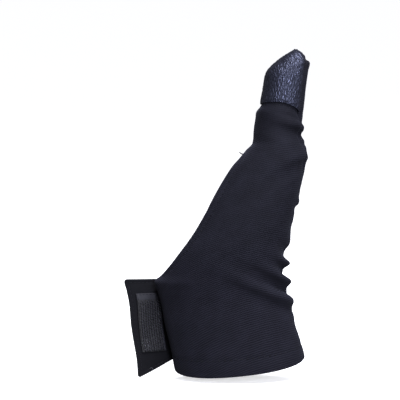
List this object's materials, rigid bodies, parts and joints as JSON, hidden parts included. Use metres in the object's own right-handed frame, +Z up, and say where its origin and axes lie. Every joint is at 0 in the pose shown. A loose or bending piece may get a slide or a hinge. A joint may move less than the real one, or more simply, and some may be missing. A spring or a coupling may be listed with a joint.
{
  "type": "bowling glove",
  "caption": "Thumb glove in its worn form for a right hand: stretch cloth sleeve over wrist and thumb, grained leather thumb cap, open hook tape tab at the wrist.",
  "frame": {"origin": "centre of the wrist opening, where the forearm that wears the glove leaves it", "axes": "+Z up along the forearm and the thumb, +X towards the thumb's outer side, -Y out of the palm side, which faces the viewer in the picture"},
  "size_m": [0.1068, 0.0474, 0.189],
  "materials": {
    "stretch_cloth": "matt knitted stretch cloth with a soft sheen on its folds",
    "grained_leather": "glossy coated leather with a pebbled crackle grain",
    "hook_tape": "woven tape with rows of small stiff hooks"
  },
  "bodies": {
    "root": {"palm_panel": "stretch_cloth", "back_panel": "stretch_cloth", "thumb_cap": "grained_leather", "closure_tab": "stretch_cloth", "hook_patch": "hook_tape"}
  },
  "joints": []
}
